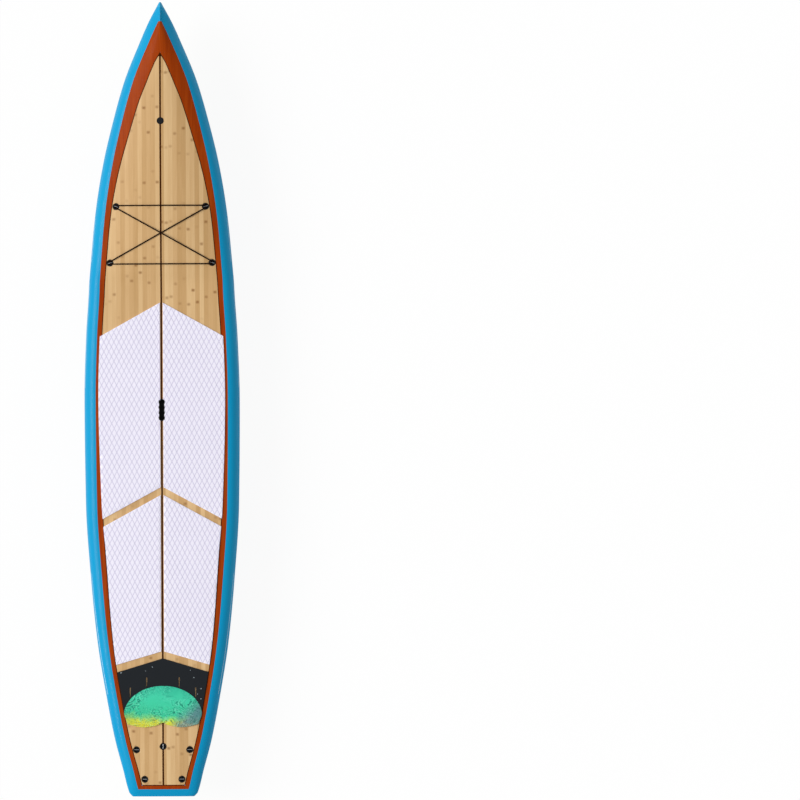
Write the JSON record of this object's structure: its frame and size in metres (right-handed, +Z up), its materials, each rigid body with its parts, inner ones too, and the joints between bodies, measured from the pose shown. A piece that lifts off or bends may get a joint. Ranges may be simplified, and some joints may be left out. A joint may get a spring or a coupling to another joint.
{
  "type": "stand up paddleboard",
  "caption": "Rigid touring stand up paddleboard: foam core in a laminate shell with bamboo deck, traction pads, tie-down cord, carry handle, air vent and a sliding centre fin",
  "frame": {"origin": "on the flat of the bottom at the hull's middle, on the centre plane", "axes": "+X starboard, +Y towards the nose, +Z up out of the deck"},
  "size_m": [0.7462, 3.81, 0.3665],
  "materials": {
    "rail_paint": "glossy blue lacquer over glass laminate",
    "bottom_paint": "glossy lacquer that fades from yellow-green at the ends to blue",
    "bamboo": "clear-coated bamboo veneer with lengthwise strips and small nodes",
    "border_wood": "clear-coated red-brown veneer",
    "dark_inlay": "clear-coated dark brown veneer line",
    "dense_foam": "dense closed-cell foam",
    "stringer_wood": "bare wooden web",
    "foam": "white bead foam",
    "pad_foam": "pale EVA foam with cut diamond grooves",
    "tail_foam": "charcoal EVA foam",
    "dome_foam": "teal EVA foam that fades to yellow",
    "black_plastic": "black moulded nylon",
    "fin_plastic": "black moulded nylon with grey chevrons",
    "brass": "plain brass pin",
    "steel": "stainless steel",
    "black_rubber": "black rubber",
    "membrane": "white breathable membrane",
    "bungee_cord": "dark braided elastic cord"
  },
  "bodies": {
    "board": {"bamboo_veneer_port": "bamboo", "bamboo_veneer_starboard": "bamboo", "border_veneer": "border_wood", "bottom_skin": "bottom_paint", "centre_strip": "dark_inlay", "cup_aft_port": "black_plastic", "cup_aft_starboard": "black_plastic", "cup_fore_port": "black_plastic", "cup_fore_starboard": "black_plastic", "cup_rear_port": "black_plastic", "cup_rear_starboard": "black_plastic", "cup_tail_port": "black_plastic", "cup_tail_starboard": "black_plastic", "deck_bungee": "bungee_cord", "deck_skin": "rail_paint", "fin_box": "black_plastic", "fin_box_block": "dense_foam", "foam_core_port": "foam", "foam_core_starboard": "foam", "handle_cup": "black_plastic", "leash_bar": "steel", "leash_cup": "black_plastic", "nose_cap": "rail_paint", "pad_front_port": "pad_foam", "pad_front_starboard": "pad_foam", "pad_rear_port": "pad_foam", "pad_rear_starboard": "pad_foam", "pinline_inlay": "dark_inlay", "rail_skin_port": "rail_paint", "rail_skin_starboard": "rail_paint", "stringer": "stringer_wood", "tail_cap": "rail_paint", "tail_dome_pad": "dome_foam", "tail_panel": "tail_foam", "tie_down_bars": "steel", "vent_insert": "black_plastic"},
    "fin": {"fin": "fin_plastic", "fin_lock_pin": "brass", "fin_nut": "steel"},
    "fin_washer": {"fin_washer": "steel"},
    "fin_screw": {"fin_screw": "steel"},
    "vent_seal": {"vent_seal": "black_rubber"},
    "vent_cap": {"vent_cap": "black_plastic", "vent_membrane": "membrane"}
  },
  "joints": [
    {"name": "fin_slide", "type": "slide", "parent": "board", "child": "fin", "axis": [0, 0.9941, -0.1084], "range_m": [-0.083, 0]},
    {"name": "screw_travel", "type": "slide", "parent": "fin", "child": "fin_washer", "axis": [0, -0.1084, -0.9941], "range_m": [0, 0.0042]},
    {"name": "screw_turn", "type": "hinge", "parent": "fin_washer", "child": "fin_screw", "pos_m": [0, -1.48541, 0.06206], "axis": [0, -0.1084, -0.9941], "range_deg": [0, 2160]},
    {"name": "vent_travel", "type": "slide", "parent": "board", "child": "vent_seal", "axis": [0, 0, 1], "range_m": [0, 0.006]},
    {"name": "vent_turn", "type": "hinge", "parent": "vent_seal", "child": "vent_cap", "pos_m": [0, 1.335, 0.21702], "axis": [0, 0, 1], "range_deg": [0, 1440]}
  ],
  "couplings": [
    {"joint": "screw_turn", "follows": "screw_travel", "rad_per_m": 8976},
    {"joint": "vent_turn", "follows": "vent_travel", "rad_per_m": 4188.8}
  ]
}
